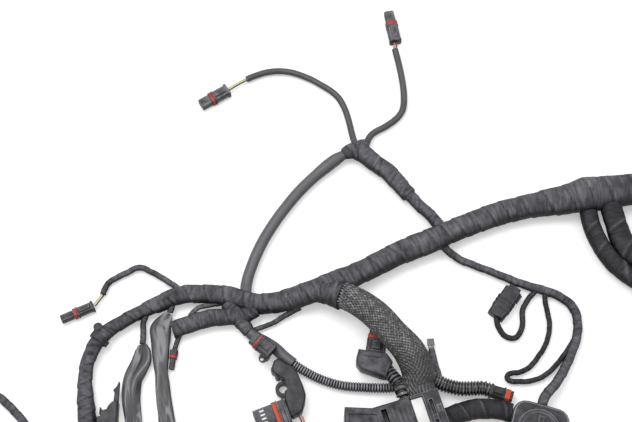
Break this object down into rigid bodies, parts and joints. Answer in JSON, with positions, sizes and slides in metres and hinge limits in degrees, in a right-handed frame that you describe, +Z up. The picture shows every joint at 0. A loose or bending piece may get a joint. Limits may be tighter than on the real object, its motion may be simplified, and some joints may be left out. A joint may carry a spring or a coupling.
{
  "type": "vehicle wiring harness",
  "caption": "Engine bay wiring harness laid flat: tape-wrapped trunk with taped branches, a braided sleeve, corrugated conduits, a big control unit plug and small sealed plugs",
  "frame": {"origin": "centre of the underside of the control unit plug, on the surface that the harness lies on", "axes": "+Z up; +X to the right along the length of the trunk as the picture shows it; +Y away from the front edge, towards the two small plugs on long leads"},
  "size_m": [0.7087, 0.4967, 0.0446],
  "materials": {
    "cloth_tape": "woven black harness tape, slightly shiny weave, wound in overlapping turns",
    "braid": "braided black polyester sleeving with glinting strands",
    "soft_tube": "smooth soft black vinyl tube with a satin sheen",
    "gloss_tube": "thin glossy black vinyl sleeve, flattened and creased",
    "conduit": "ringed black nylon conduit, satin",
    "black_nylon": "moulded black glass-filled nylon, satin",
    "grey_nylon": "moulded dark grey nylon, satin",
    "green_nylon": "moulded black nylon with a green tint",
    "white_nylon": "moulded white nylon",
    "red_seal": "soft red silicone rubber",
    "tinned_metal": "tinned sheet metal, dull",
    "yellow_wire": "thin wire insulation, yellow beside dark",
    "brown_wire": "thin wire insulation, brown beside pink"
  },
  "bodies": {
    "root": {"main_trunk": "cloth_tape", "y_branch": "cloth_tape", "inner_left_branch": "cloth_tape", "short_branch": "cloth_tape", "lower_right_branch": "cloth_tape", "upper_right_branch": "cloth_tape", "side_branch": "cloth_tape", "arch_lead": "cloth_tape", "loop_lead": "cloth_tape", "loop_plug_lead": "cloth_tape", "return_loop": "cloth_tape", "far_tail": "cloth_tape", "terminal_lead": "cloth_tape", "braided_sleeve": "braid", "upper_pvc_tube": "soft_tube", "upper_left_sleeve": "soft_tube", "upper_right_sleeve": "soft_tube", "conduit_sleeve": "soft_tube", "right_gloss_sleeve": "gloss_tube", "left_gloss_sleeve": "gloss_tube", "long_conduit": "conduit", "elbow_conduit": "conduit", "right_conduit": "conduit", "trunk_clip": "black_nylon", "control_base": "black_nylon", "control_cover": "black_nylon", "control_side_cover": "black_nylon", "control_lock_bar": "white_nylon", "elbow_plug": "black_nylon", "elbow_cover": "black_nylon", "elbow_seal": "red_seal", "four_way_plug": "black_nylon", "four_way_seal": "red_seal", "five_way_plug": "black_nylon", "five_way_seal": "red_seal", "five_way_wires": "brown_wire", "angled_backshell": "black_nylon", "green_plug": "green_nylon", "green_seal": "red_seal", "round_plug": "black_nylon", "round_lid": "black_nylon", "lower_left_plug": "black_nylon", "tin_terminal": "tinned_metal", "trunk_end_plug": "black_nylon", "right_branch_plug": "black_nylon", "front_left_plug": "black_nylon", "upper_left_wires": "yellow_wire", "upper_left_plug": "grey_nylon", "upper_left_seal": "red_seal", "upper_right_wires": "brown_wire", "upper_right_plug": "grey_nylon", "upper_right_seal": "red_seal", "arch_wires": "yellow_wire", "arch_plug": "black_nylon", "arch_seal": "red_seal", "hanging_plug": "black_nylon", "hanging_seal": "red_seal", "loop_plug": "black_nylon", "tail_plug": "black_nylon"}
  },
  "joints": []
}
